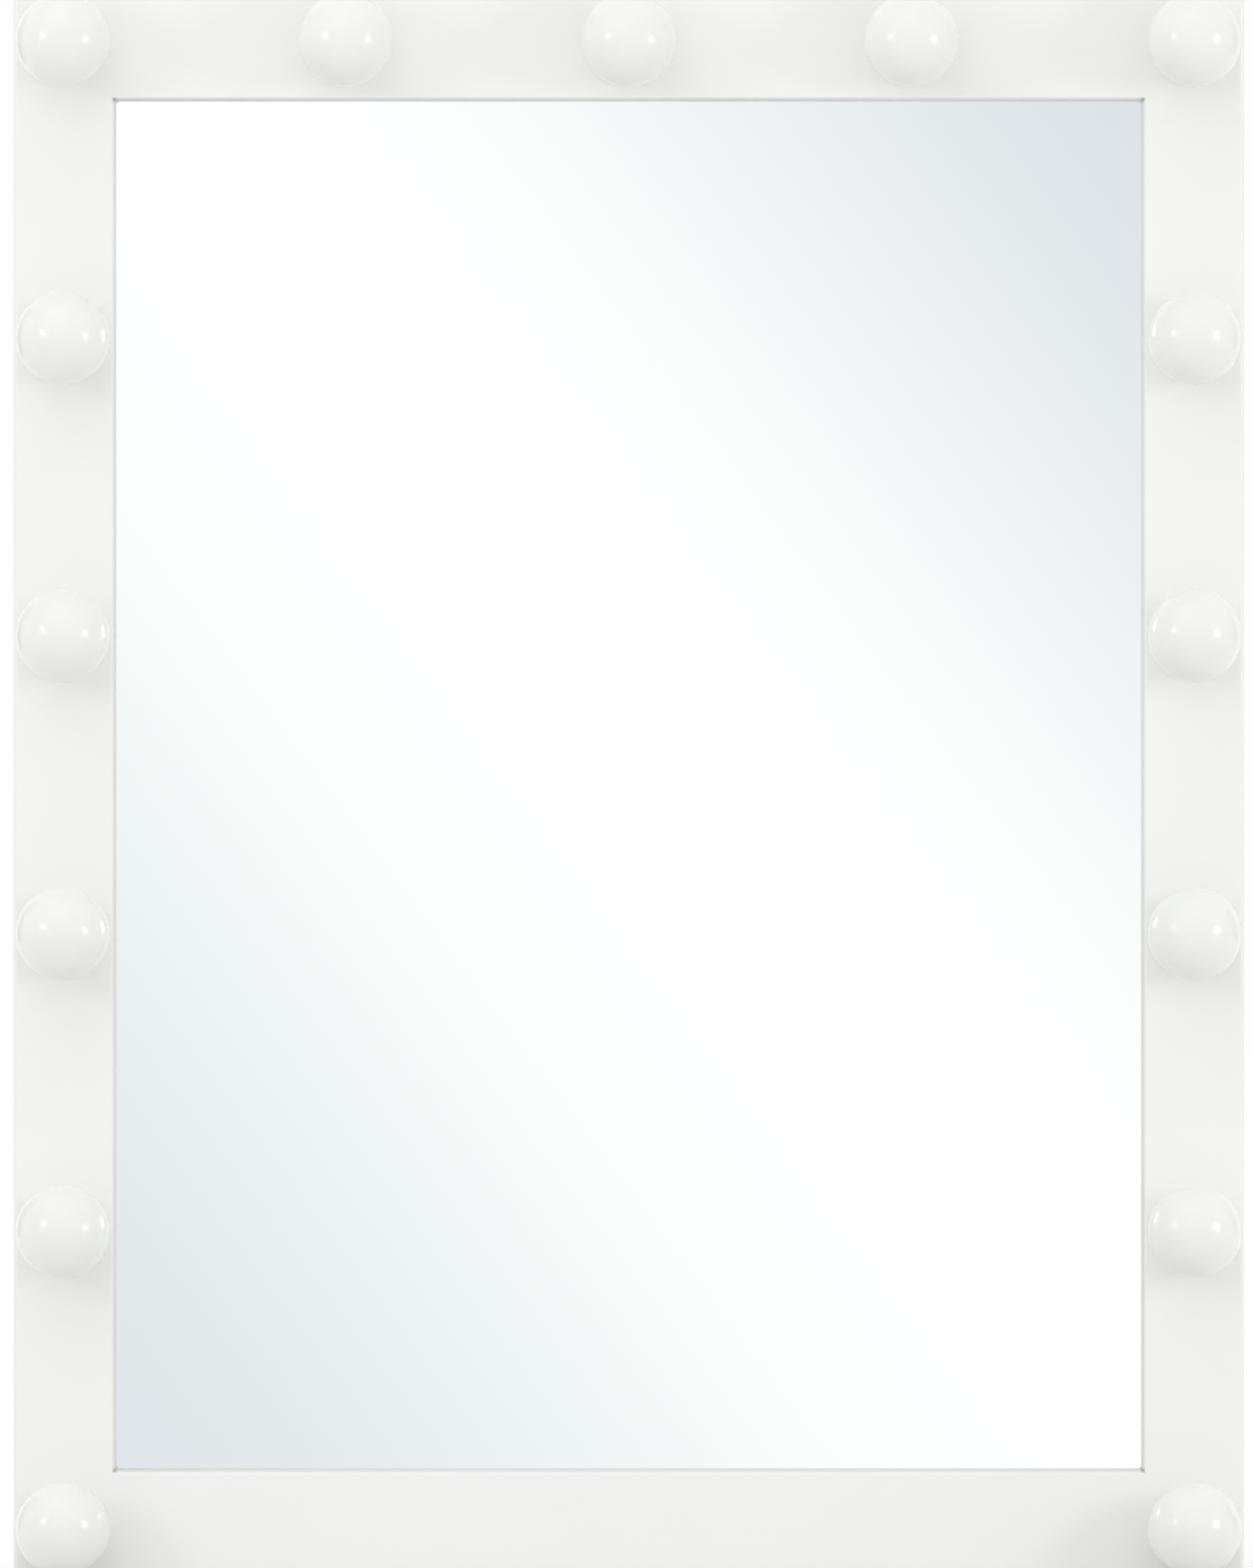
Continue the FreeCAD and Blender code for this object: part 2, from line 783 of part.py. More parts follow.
def driver_lid():
    """Snap-on lid of the dimmer case, with its locating rib inside the walls."""
    end = board_end_d + case_t
    lid = block(case_left, case_right, end, end + lid_t, case_low, case_high)
    inset = case_wall + touch_gap
    rib = block(
        case_left + inset, case_right - inset, end - lid_t, end, case_low + inset, case_high - inset
    )
    rib = rib.cut(
        block(
            case_left + inset + lid_t, case_right - inset - lid_t, end - lid_t, end,
            case_low + inset + lid_t, case_high - inset - lid_t,
        )
    )
    return lid.fuse(rib).removeSplitter()


def driver_board():
    """Dimmer circuit board with its largest parts, on the case's posts."""
    inset = case_wall + circuit_gap
    d0 = board_end_d + case_wall + circuit_post_h
    d1 = d0 + circuit_t
    left, right, low, high = case_left + inset, case_right - inset, case_low + inset, case_high - inset
    board = block(left, right, d0, d1, low, high)
    third = (right - left) / 3
    capacitor = rod(left + third / 2, case_z + capacitor_r, capacitor_r, d1, d1 + capacitor_h)
    coil = rod(left + third, case_z - coil_r, coil_r, d1, d1 + coil_h)
    coil = coil.cut(rod(left + third, case_z - coil_r, coil_bore_r, d1, d1 + coil_h))
    half = chip_size / 2
    chip = block(case_x, case_x + chip_size, d1, d1 + chip_h, case_z - half, case_z + half)
    sink_left = right - third / 2 - heat_sink_w / 2
    sink_right = sink_left + heat_sink_w
    sink = block(sink_left, sink_right, d1, d1 + heat_sink_h, low + inset, high - inset)
    return Part.makeCompound([board, capacitor, coil, chip, sink])


# ---- Rear cover and what is on it ----

def keyhole(d0, d1, x, z):
    """A keyhole through the cover: the screw head's hole with the slot above it."""
    hole = rod(x, z, keyhole_r, d0, d1)
    slot = block(x - keyhole_slot_r, x + keyhole_slot_r, d0, d1, z, z + keyhole_slot_len)
    end = rod(x, z + keyhole_slot_len, keyhole_slot_r, d0, d1)
    return hole.fuse([slot, end])


def keyhole_places():
    return [(s * keyhole_x, frame_top - keyhole_drop) for s in (-1, 1)]


def rivet_places():
    """(x, z) of the rivets through each stand bracket's base."""
    x = ear_x0 - bracket_w / 2
    ends = (bracket_up - rivet_edge, rivet_edge - bracket_down)
    return [(side * x, stand_pivot_z + up) for side in (-1, 1) for up in ends]


def rear_cover():
    """Flat steel cover with vents, keyholes and the openings for the controls."""
    w, h = frame_w - 2 * cover_inset, frame_h - 2 * cover_inset
    cover = plate(w, h, cover_corner_r, tray_depth, cover_d)
    d0, d1 = tray_depth - over, cover_d + over
    cuts = [rod(x, z, screw_r + touch_gap, d0, d1) for x, z in cover_screw_places()]
    cuts += [rod(x, z, rivet_r + seat_gap, d0, d1) for x, z in rivet_places()]
    cuts += [keyhole(d0, d1, x, z) for x, z in keyhole_places()]
    for z in (vent_low_z, frame_top - vent_high_drop):
        for i in range(vents_in_row):
            x = vent_pitch * (i - (vents_in_row - 1) / 2)
            cuts.append(plate(vent_w, vent_h, vent_corner_r, d0, d1, x, z))
    cuts.append(rod(control_x, dimmer_z, bush_r + touch_gap, d0, d1))
    cuts.append(rod(control_x, inlet_z, inlet_barrel_r + touch_gap, d0, d1))
    switch_w, switch_h = switch_body_w + 2 * touch_gap, switch_body_h + 2 * touch_gap
    cuts.append(plate(switch_w, switch_h, 0, d0, d1, control_x, switch_z))
    return cover.cut(Part.makeCompound(cuts))


def cover_screws():
    """Pan-head screws with a cross recess."""
    top = cover_d + screw_head_h
    shank = rod(0, 0, screw_r, cover_d - screw_len, cover_d)
    head = lathe([
        (0, cover_d),
        (screw_head_r, cover_d),
        (screw_head_r, cover_d + screw_head_h / 2),
        (screw_top_r, top),
        (0, top),
    ])
    screw = shank.fuse(head).removeSplitter()
    arm, half = screw_slot_len / 2, screw_slot_w / 2
    for w, h in ((arm, half), (half, arm)):
        screw = screw.cut(block(-w, w, top - screw_recess, top + over, -h, h))
    return Part.makeCompound(copies(screw, cover_screw_places()))


def keyhole_plates():
    """Steel plates spot-welded inside the cover round the keyholes."""
    made = []
    for x, z in keyhole_places():
        d0, d1 = tray_depth - keyhole_plate_t, tray_depth
        middle = z + keyhole_slot_len / 2
        sheet = plate(keyhole_plate_w, keyhole_plate_h, keyhole_plate_r, d0, d1, x, middle)
        made.append(sheet.cut(keyhole(d0 - over, d1 + over, x, z)))
    return Part.makeCompound(made)


def base_pads():
    """Rubber pads under the frame."""
    depth = tray_depth - 2 * pad_edge
    made = []
    for s in (-1, 1):
        pad = block(s * pad_x - pad_w / 2, s * pad_x + pad_w / 2, pad_edge, pad_edge + depth, 0, pad_t)
        upright = [e for e in pad.Edges if abs(e.BoundBox.ZLength - pad_t) < 1e-6]
        made.append(pad.makeFillet(pad_corner_r, upright))
    return Part.makeCompound(made)


def wall_bumpers():
    """Rubber bumpers at the cover's corners, taller than anything else on the back."""
    bumper = lathe([
        (0, cover_d),
        (bumper_r, cover_d),
        (bumper_r - bumper_taper, cover_d + bumper_h),
        (0, cover_d + bumper_h),
    ])
    x = frame_w / 2 - bumper_edge
    spots = [(s * x, z) for s in (-1, 1) for z in (frame_low + bumper_edge, frame_top - bumper_edge)]
    return Part.makeCompound(copies(bumper, spots))


# ---- Wire stand ----

def stand_wire():
    """U-shaped wire leg, folded flat against the back, with its ends turned in as pivots."""
    pin_x = stand_x - stand_pin_len
    points = [
        place(-pin_x, stand_d, stand_pivot_z),
        place(-stand_x, stand_d, stand_pivot_z),
        place(-stand_x, stand_d, stand_foot_z),
        place(stand_x, stand_d, stand_foot_z),
        place(stand_x, stand_d, stand_pivot_z),
        place(pin_x, stand_d, stand_pivot_z),
    ]
    bends = [stand_top_bend, stand_foot_bend, stand_foot_bend, stand_top_bend]
    return tube(points, stand_wire_r, bends)


def stand_sleeves():
    """Rubber sleeves on the stand's foot."""
    made = []
    for s in (-1, 1):
        x = s * sleeve_x - sleeve_len / 2
        sleeve = cross_rod(x, x + sleeve_len, stand_d, stand_foot_z, sleeve_r)
        bore = cross_rod(x - over, x + sleeve_len + over, stand_d, stand_foot_z, stand_wire_r + seat_gap)
        made.append(sleeve.cut(bore))
    return Part.makeCompound(made)


def stand_bracket():
    """Bracket at the right: base on the cover, ear with the pivot hole, and the stop for the open leg."""
    rim_r = stand_d - cover_d
    low, high = stand_pivot_z - bracket_down, stand_pivot_z + bracket_up
    base = block(ear_x0 - bracket_w, ear_x1, cover_d, cover_d + bracket_t, low, high)
    disc = cross_rod(ear_x0, ear_x1, stand_d, stand_pivot_z, rim_r)
    web = block(ear_x0, ear_x1, cover_d, stand_d, stand_pivot_z - rim_r, stand_pivot_z + rim_r)
    # the arm and its stop are laid along the closed leg, then swung out to where the leg opens
    stop_d = stand_d + stand_wire_r + stop_gap
    stop_high = stand_pivot_z - rim_r
    arm = block(ear_x0, ear_x1, stand_d, stop_d + stop_t, stop_high - stop_w, stand_pivot_z)
    stop = block(ear_x0, stand_x + stand_wire_r, stop_d, stop_d + stop_t, stop_high - stop_w, stop_high)
    for piece in (arm, stop):
        piece.rotate(place(0, stand_d, stand_pivot_z), X_AXIS, stand_open_deg)
    body = base.fuse([disc, web, arm, stop]).removeSplitter()
    hole = cross_rod(ear_x0 - over, ear_x1 + over, stand_d, stand_pivot_z, stand_wire_r + seat_gap)
    body = body.cut(hole)
    for x, z in rivet_places():
        body = body.cut(rod(x, z, rivet_r + seat_gap, cover_d - over, cover_d + bracket_t + over))
    return body


def stand_brackets():
    right = stand_bracket()
    return Part.makeCompound([right, right.mirror(Vector(0, 0, 0), X_AXIS)])


def bracket_rivets():
    """Domed rivets through the stand brackets and the cover."""
    head_d = cover_d + bracket_t
    rivet = lathe([
        (0, tray_depth - rivet_tail_h),
        (rivet_tail_r, tray_depth - rivet_tail_h),
        (rivet_tail_r, tray_depth),
        (rivet_r, tray_depth),
        (rivet_r, head_d),
        (rivet_head_r, head_d),
        (0, head_d + rivet_head_h, dome_bow(rivet_head_r, rivet_head_h)),
    ])
    return Part.makeCompound(copies(rivet, rivet_places()))


# ---- Controls ----

def switch_housing():
    """Snap-in body of the rocker switch."""
    d0 = bezel_d - switch_body_depth
    body = plate(switch_body_w, switch_body_h, 0, d0, bezel_d, control_x, switch_z)
    bezel = plate(switch_bezel_w, switch_bezel_h, switch_corner_r, cover_d, bezel_d, control_x, switch_z)
    well_h = 2 * (rocker_r + rocker_gap)
    well_d = rocker_d - rocker_r * math.sin(math.radians(rocker_half_deg)) - rocker_under - rocker_gap
    well = plate(switch_well_w, well_h, 0, well_d, bezel_d + over, control_x, switch_z)
    body = body.fuse(bezel).removeSplitter().cut(well)
    reach = switch_well_w / 2 + rocker_pin_len
    pin_r = rocker_pin_r + rocker_pin_gap
    return body.cut(cross_rod(control_x - reach, control_x + reach, rocker_d, switch_z, pin_r))


def switch_rocker():
    """Rocker with a hollow V face, resting with its lower half pressed in."""
    half_w = switch_well_w / 2 - rocker_gap
    far = 3 * rocker_r
    x0, x1, z0, z1 = control_x - far, control_x + far, switch_z - far, switch_z + far
    body = cross_rod(control_x - half_w, control_x + half_w, rocker_d, switch_z, rocker_r)
    body = body.cut(block(x0, x1, rocker_d - far, rocker_d - rocker_under, z0, z1))
    crease = place(control_x, bezel_d, switch_z)
    slopes = [block(x0, x1, bezel_d, bezel_d + far, z0, z1) for turn in (-1, 1)]
    for turn, slope in zip((-1, 1), slopes):
        slope.rotate(crease, X_AXIS, turn * rocker_half_deg)
    body = body.cut(slopes[0].common(slopes[1]))
    reach = half_w + rocker_gap + rocker_pin_len - rocker_pin_gap
    pin = cross_rod(control_x - reach, control_x + reach, rocker_d, switch_z, rocker_pin_r)
    body = body.fuse(pin).removeSplitter()
    body.rotate(place(control_x, rocker_d, switch_z), X_AXIS, -rocker_half_deg)
    return body


def dimmer_body():
    """Rotary control behind the cover, with its threaded bush."""
    back_d = tray_depth - pot_t
    bore_r = shaft_r + shaft_gap
    return lathe([
        (0, back_d),
        (pot_r, back_d),
        (pot_r, tray_depth),
        (bush_r, tray_depth),
        (bush_r, tray_depth + bush_len),
        (bore_r, tray_depth + bush_len),
        (bore_r, back_d + pot_floor_t),
        (0, back_d + pot_floor_t),
    ], control_x, dimmer_z)


def dimmer_shaft():
    """Shaft of the rotary control, up into the knob."""
    start = tray_depth - pot_t + pot_floor_t + touch_gap
    return rod(control_x, dimmer_z, shaft_r, start, knob_d + knob_bore_in)


def dimmer_knob():
    """Fluted knob, hollow over the control's nut, with a pointer line."""
    top = knob_d + knob_h
    floor = knob_d + knob_hollow
    knob = lathe([
        (0, floor),
        (0, top),
        (knob_r - knob_round, top),
        (knob_r, top - knob_round, round_bow(knob_round)),
        (knob_r, knob_d),
        (knob_r - knob_wall, knob_d),
        (knob_r - knob_wall, floor),
    ], control_x, dimmer_z)
    cuts = [rod(control_x, dimmer_z, shaft_r + seat_gap, knob_d - over, knob_d + knob_bore_in)]
    for i in range(knob_flutes):
        a = 2 * math.pi * (i + 0.5) / knob_flutes
        x, z = control_x + knob_r * math.cos(a), dimmer_z + knob_r * math.sin(a)
        cuts.append(rod(x, z, knob_flute_r, knob_d - over, top - knob_round))
    knob = knob.cut(Part.makeCompound(cuts))
    half, inner = pointer_w / 2, knob_r / 3
    return knob.cut(block(
        control_x - half, control_x + half, top - pointer_depth, top + over,
        dimmer_z + inner, dimmer_z + knob_r - knob_round,
    ))


def power_inlet():
    """Direct-current socket: flanged barrel through the cover, with its centre pin."""
    face = cover_d + inlet_flange_t
    barrel_end = cover_d - inlet_barrel_len
    end = barrel_end - inlet_body_len
    floor = face - inlet_bore_len
    body = lathe([
        (0, end),
        (inlet_body_r, end),
        (inlet_body_r, barrel_end),
        (inlet_barrel_r, barrel_end),
        (inlet_barrel_r, cover_d),
        (inlet_flange_r, cover_d),
        (inlet_flange_r, face),
        (inlet_bore_r, face),
        (inlet_bore_r, floor),
        (0, floor),
    ], control_x, inlet_z)
    pin = rod(control_x, inlet_z, inlet_pin_r, floor, face - inlet_pin_short)
    return Part.makeCompound([body, pin])


def panel_nuts():
    """Hexagon nuts of the dimmer, outside the cover, and of the power inlet, inside it."""
    outside = hexagon(control_x, dimmer_z, panel_nut_af, cover_d, cover_d + panel_nut_t)
    bush = rod(control_x, dimmer_z, bush_r + seat_gap, cover_d - over, cover_d + panel_nut_t + over)
    d0, d1 = tray_depth - panel_nut_t, tray_depth
    inside = hexagon(control_x, inlet_z, panel_nut_af, d0, d1)
    barrel = rod(control_x, inlet_z, inlet_barrel_r + seat_gap, d0 - over, d1 + over)
    return Part.makeCompound([outside.cut(bush), inside.cut(barrel)])


# ---- Nodes ----

def nodes():
    """Every node's name and shape."""
    lamps = lamp_places()
    made = {
        "front_frame": front_frame(),
        "lip_gasket": lip_gasket(),
        "mirror_glass": mirror_glass(),
        "backing_board": backing_board(),
        "mirror_clips": mirror_clips(),
        "clip_studs": clip_studs(),
        "rear_cover": rear_cover(),
        "cover_screws": cover_screws(),
        "keyhole_plates": keyhole_plates(),
        "lampholder_rings": Part.makeCompound(copies(lampholder_ring(), lamps)),
        "lampholder_housings": Part.makeCompound(copies(lampholder_housing(), lamps)),
        "lampholder_contacts": lampholder_contacts(lamps),
        "wiring": Part.makeCompound([lamp_cable(), feed_cable()] + control_leads()),
        "cable_clips": cable_clips(),
        "driver_case": driver_case(),
        "driver_lid": driver_lid(),
        "driver_board": driver_board(),
        "switch_housing": switch_housing(),
        "switch_rocker": switch_rocker(),
        "dimmer_body": dimmer_body(),
        "dimmer_shaft": dimmer_shaft(),
        "dimmer_knob": dimmer_knob(),
        "panel_nuts": panel_nuts(),
        "power_inlet": power_inlet(),
        "stand_wire": stand_wire(),
        "stand_sleeves": stand_sleeves(),
        "stand_brackets": stand_brackets(),
        "bracket_rivets": bracket_rivets(),
        "base_pads": base_pads(),
        "wall_bumpers": wall_bumpers(),
    }
    globe, base = bulb_globe(), Part.makeCompound(bulb_base())
    for i, spot in enumerate(lamps, 1):
        made[f"bulb_globe_{i:02d}"] = copies(globe, [spot])[0]
        made[f"bulb_base_{i:02d}"] = copies(base, [spot])[0]
    return made


def main():
    os.makedirs("parts", exist_ok=True)
    for name, shape in nodes().items():
        bad = [s for s in shape.Solids if not s.isValid() or s.Volume <= 0]
        if bad or not shape.Solids:
            raise SystemExit(f"{name}: {len(bad)} of its solids are not valid")
        shape.exportStep(os.path.join("parts", name + ".step"))
    print("frame depth", round(tray_depth, 2), "opening", window_w, "x", window_h, "face at Y", face_y)


if __name__ == "__main__":
    main()
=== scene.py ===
import math

import bmesh
import bpy
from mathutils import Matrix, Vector


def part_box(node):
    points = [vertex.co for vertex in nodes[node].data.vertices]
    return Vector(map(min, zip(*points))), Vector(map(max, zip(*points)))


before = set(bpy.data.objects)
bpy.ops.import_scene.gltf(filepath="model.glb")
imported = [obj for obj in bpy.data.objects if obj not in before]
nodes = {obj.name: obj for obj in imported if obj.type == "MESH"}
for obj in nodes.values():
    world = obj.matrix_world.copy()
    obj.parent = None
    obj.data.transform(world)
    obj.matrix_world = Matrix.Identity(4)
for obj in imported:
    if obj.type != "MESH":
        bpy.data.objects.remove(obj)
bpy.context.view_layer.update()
print("frame loaded:", len(nodes), "nodes")

mm = 0.001
micron = 0.000001
hair = 0.01 * mm  # tells a face that lies on a plane from one past it
frameLow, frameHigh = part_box("front_frame")
faceY = frameLow.y
middleZ = (frameLow.z + frameHigh.z) / 2


class Wire:
    # a socket that takes + - * / with numbers and other wires
    def __init__(self, graph, socket):
        self.graph = graph
        self.socket = socket

    def math(self, operation, other=0.0):
        return self.graph.calculate(operation, self, other)

    def take(self, name):
        return Wire(self.graph, self.socket.node.outputs[name])

    def __add__(self, other):
        return self.math("ADD", other)

    def __radd__(self, other):
        return self.graph.calculate("ADD", other, self)

    def __sub__(self, other):
        return self.math("SUBTRACT", other)

    def __rsub__(self, other):
        return self.graph.calculate("SUBTRACT", other, self)

    def __mul__(self, other):
        return self.math("MULTIPLY", other)

    def __rmul__(self, other):
        return self.graph.calculate("MULTIPLY", other, self)

    def __truediv__(self, other):
        return self.math("DIVIDE", other)

    def __rtruediv__(self, other):
        return self.graph.calculate("DIVIDE", other, self)

    def __abs__(self):
        return self.math("ABSOLUTE")


class Graph:
    # a node tree that is filled one node at a time
    def __init__(self, tree):
        self.tree = tree
        tree.nodes.clear()

    def add(self, kind, settings=None, inputs=None):
        node = self.tree.nodes.new(kind)
        for name, value in (settings or {}).items():
            if name == "stops":
                self.setStops(node.color_ramp, value)
            elif name == "easing":
                node.color_ramp.interpolation = value
            else:
                setattr(node, name, value)
        for key, value in (inputs or {}).items():
            if isinstance(value, Wire):
                self.tree.links.new(value.socket, node.inputs[key])
            else:
                node.inputs[key].default_value = value
        outputs = [s for s in node.outputs if s.enabled]
        return Wire(self, outputs[0]) if outputs else None

    def setStops(self, ramp, stops):
        while len(ramp.elements) < len(stops):
            ramp.elements.new(0.5)
        for element, (place, colour) in zip(ramp.elements, stops):
            element.position = place
            element.color = colour

    def calculate(self, operation, a, b):
        return self.add("ShaderNodeMath", {"operation": operation}, {0: a, 1: b})

    def mixColour(self, factor, a, b):
        return self.add("ShaderNodeMix", {"data_type": "RGBA"}, {0: factor, 6: a, 7: b})

    def noise(self, where, scale, detail=2.0, rough=0.5):
        inputs = {"Vector": where, "Scale": scale, "Detail": detail, "Roughness": rough}
        return self.add("ShaderNodeTexNoise", {}, inputs)

    def ramp(self, value, stops, easing="LINEAR"):
        return self.add("ShaderNodeValToRGB", {"stops": stops, "easing": easing}, {"Fac": value})

    def spread(self, value, low, high):
        # a 0..1 value moved to low..high
        return value * (high - low) + low

    def window(self, value, start, end):
        # 0 before start, 1 after end
        settings = {"clamp": True, "interpolation_type": "SMOOTHSTEP"}
        return self.add("ShaderNodeMapRange", settings, {0: value, 1: start, 2: end, 3: 0.0, 4: 1.0})

    def bump(self, height, strength, distance):
        inputs = {"Strength": strength, "Distance": distance, "Height": height}
        return self.add("ShaderNodeBump", {}, inputs)


def hexColour(code):
    # a screen colour such as "#F0F0EE" as linear light
    levels = [int(code[i:i + 2], 16) / 255 for i in (1, 3, 5)]
    return (*[v / 12.92 if v <= 0.04045 else ((v + 0.055) / 1.055) ** 2.4 for v in levels], 1)


cloudSpan = (0.3, 0.7)  # noise levels between which a colour changes over
softSpan = (0.35, 0.75)  # the same, for fainter changes


def grey(level):
    # linear light, the same in all three
    return (level, level, level, 1)


def newMaterial(name):
    material = bpy.data.materials.new(name)
    material.use_nodes = True
    return material, Graph(material.node_tree)


def finishMaterial(graph, inputs):
    shader = graph.add("ShaderNodeBsdfPrincipled", {}, inputs)
    graph.add("ShaderNodeOutputMaterial", {}, {"Surface": shader})


# white powder coat on the sheet metal
coatLook = {"colour": "#EFEFEE", "shade": "#ECECEA", "cloud": 9.0, "rough": (0.34, 0.42), "peel": 420.0,
            "peelHeight": 12 * micron, "grain": 2600.0, "grainHeight": 4 * micron, "specular": 0.4}

# painted shade along the fold round the mirror opening, darker still at its corners
creaseLook = {"halfWidth": 208.5 * mm, "halfHeight": 278.0 * mm, "fold": (0.5 * mm, 1.5 * mm),
              "corner": (-1.2 * mm, 0.2 * mm), "crease": "#DADBD9", "cornerShade": "#A2A3A1"}


def windowFoldShade(graph, where, look):
    # mask of painted shade: 1 along the fold round the mirror, 0 on the flat face; the painted shade is
    # deeper at the corners
    apart = graph.add("ShaderNodeSeparateXYZ", {}, {0: where})
    side = abs(apart.take("X")) - look["halfWidth"]
    end = abs(apart.take("Z") - middleZ) - look["halfHeight"]
    line = 1 - graph.window(side.math("MAXIMUM", end), *look["fold"])
    corner = graph.window(side.math("MINIMUM", end), *look["corner"])
    return line, line * corner


def powderCoat(name, look):
    material, graph = newMaterial(name)
    where = graph.add("ShaderNodeTexCoord").take("Object")
    cloud = graph.noise(where, look["cloud"], 3.0)
    peel = graph.noise(where, look["peel"], 2.0, 0.45)
    grain = graph.noise(where, look["grain"], 1.0)
    tint = graph.window(cloud, *cloudSpan)
    colour = graph.mixColour(tint, hexColour(look["colour"]), hexColour(look["shade"]))
    # painted shade: the fold round the mirror opening and its corners are coloured darker
    if "halfWidth" in look:
        line, corner = windowFoldShade(graph, where, look)
        colour = graph.mixColour(line, colour, hexColour(look["crease"]))
        colour = graph.mixColour(corner, colour, hexColour(look["cornerShade"]))
    rough = graph.spread(peel, *look["rough"])
    relief = peel + grain * (look["grainHeight"] / look["peelHeight"])
    skin = graph.bump(relief, 1.0, look["peelHeight"])
    finishMaterial(graph, {"Base Color": colour, "Roughness": rough, "Normal": skin,
                           "Specular IOR Level": look["specular"]})
    return material


# satin opal plastic of the globes, with painted shade darkening it towards the collar and a random
# cloudy tone
opalLook = {"colour": "#F4F4F1", "shadeAndCloudTone": "#ECECE7", "collarShadeFrom": 9 * mm, "collarShadeShare": 0.8,
            "cloud": 40.0, "cloudShare": 0.2, "rough": (0.17, 0.22), "frost": 1900.0,
            "frostHeight": 6 * micron, "subsurface": 0.35, "radius": (1.0, 0.95, 0.9),
            "depth": 4 * mm, "specular": 0.45}


def opalPlastic(name, look):
    material, graph = newMaterial(name)
    where = graph.add("ShaderNodeTexCoord").take("Object")
    apart = graph.add("ShaderNodeSeparateXYZ", {}, {0: where})
    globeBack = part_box("bulb_globe_01")[1].y
    # painted shade: darker over the last millimetres of the globe before the collar
    rim = graph.window(apart.take("Y"), globeBack - look["collarShadeFrom"], globeBack)
    cloud = graph.noise(where, look["cloud"], 2.0)
    frost = graph.noise(where, look["frost"], 1.0)
    # the painted collar shade plus the random cloudy tone
    shadeAndCloudMix = rim * look["collarShadeShare"] + graph.window(cloud, *softSpan) * look["cloudShare"]
    colour = graph.mixColour(shadeAndCloudMix, hexColour(look["colour"]), hexColour(look["shadeAndCloudTone"]))
    finishMaterial(graph, {"Base Color": colour, "Roughness": graph.spread(frost, *look["rough"]),
                           "Normal": graph.bump(frost, 1.0, look["frostHeight"]),
                           "Subsurface Weight": look["subsurface"], "Subsurface Radius": look["radius"],
                           "Subsurface Scale": look["depth"], "Specular IOR Level": look["specular"]})
    return material


# silvered glass, seen through its front
silverLook = {"colour": "#F1F6F4", "haze": 6.0, "rough": 0.006}

# the glass's ground edge
edgeLook = {"colour": "#9DBDB0", "other": "#B9D0C6", "chatter": 1400.0, "rough": (0.35, 0.55),
            "height": 10 * micron}

# the paint over the silver, on the glass's back
paintLook = {"colour": "#7C8784", "other": "#6C7673", "flow": 60.0, "rough": (0.45, 0.6),
             "strength": 0.6, "height": 30 * micron}


def silver(name, look):
    material, graph = newMaterial(name)
    where = graph.add("ShaderNodeTexCoord").take("Object")
    haze = graph.window(graph.noise(where, look["haze"], 2.0), *softSpan)
    finishMaterial(graph, {"Base Color": hexColour(look["colour"]), "Metallic": 1.0,
                           "Roughness": haze * look["rough"]})
    return material


def groundEdge(name, look):
    material, graph = newMaterial(name)
    where = graph.add("ShaderNodeTexCoord").take("Object")
    chatter = graph.noise(where, look["chatter"], 2.0)
    colour = graph.mixColour(chatter, hexColour(look["colour"]), hexColour(look["other"]))
    finishMaterial(graph, {"Base Color": colour, "Roughness": graph.spread(chatter, *look["rough"]),
                           "Normal": graph.bump(chatter, 1.0, look["height"])})
    return material


def backPaint(name, look):
    material, graph = newMaterial(name)
    where = graph.add("ShaderNodeTexCoord").take("Object")
    flow = graph.noise(where, look["flow"], 4.0)
    colour = graph.mixColour(flow, hexColour(look["colour"]), hexColour(look["other"]))
    finishMaterial(graph, {"Base Color": colour, "Roughness": graph.spread(flow, *look["rough"]),
                           "Normal": graph.bump(flow, look["strength"], look["height"])})
    return material


# moulded plastics and rubbers: two colours, roughness range, texture's scale and height, specular level
mouldLooks = {
    "whiteMoulding": ("#F2F2EF", "#ECECE8", (0.20, 0.30), 260.0, 8 * micron, 0.5),
    "casePlastic": ("#E9E9E5", "#E2E2DD", (0.42, 0.55), 1300.0, 20 * micron, 0.45),
    "naturalNylon": ("#E6E5DE", "#DAD9D0", (0.38, 0.5), 300.0, 10 * micron, 0.45),
    "cableJacket": ("#EDEDEA", "#E4E4E0", (0.35, 0.45), 500.0, 10 * micron, 0.4),
    "blackPlastic": ("#1B1B1D", "#232326", (0.38, 0.52), 1500.0, 20 * micron, 0.5),
    "blackRubber": ("#1C1C1D", "#262627", (0.62, 0.78), 900.0, 30 * micron, 0.35),
    "foamStrip": ("#D9DAD8", "#C4C5C3", (0.85, 0.95), 2200.0, 150 * micron, 0.2),
    "capacitorSleeve": ("#1E2A44", "#263450", (0.25, 0.35), 200.0, 5 * micron, 0.5),
    "insulatorGlass": ("#20242B", "#2C3138", (0.12, 0.2), 400.0, 6 * micron, 0.5),
}


flowRatio = 12  # how much wider the colour's flow is than the surface texture


def mouldedSkin(graph, where, name):
    base, other, rough, scale, height, specular = mouldLooks[name]
    texture = graph.noise(where, scale, 2.0, 0.55)
    flow = graph.window(graph.noise(where, scale / flowRatio, 3.0), *cloudSpan)
    return {"Base Color": graph.mixColour(flow, hexColour(base), hexColour(other)),
            "Roughness": graph.spread(texture, *rough), "Normal": graph.bump(texture, 1.0, height),
            "Specular IOR Level": specular}


def moulded(name):
    material, graph = newMaterial(name)
    where = graph.add("ShaderNodeTexCoord").take("Object")
    finishMaterial(graph, mouldedSkin(graph, where, name))
    return material


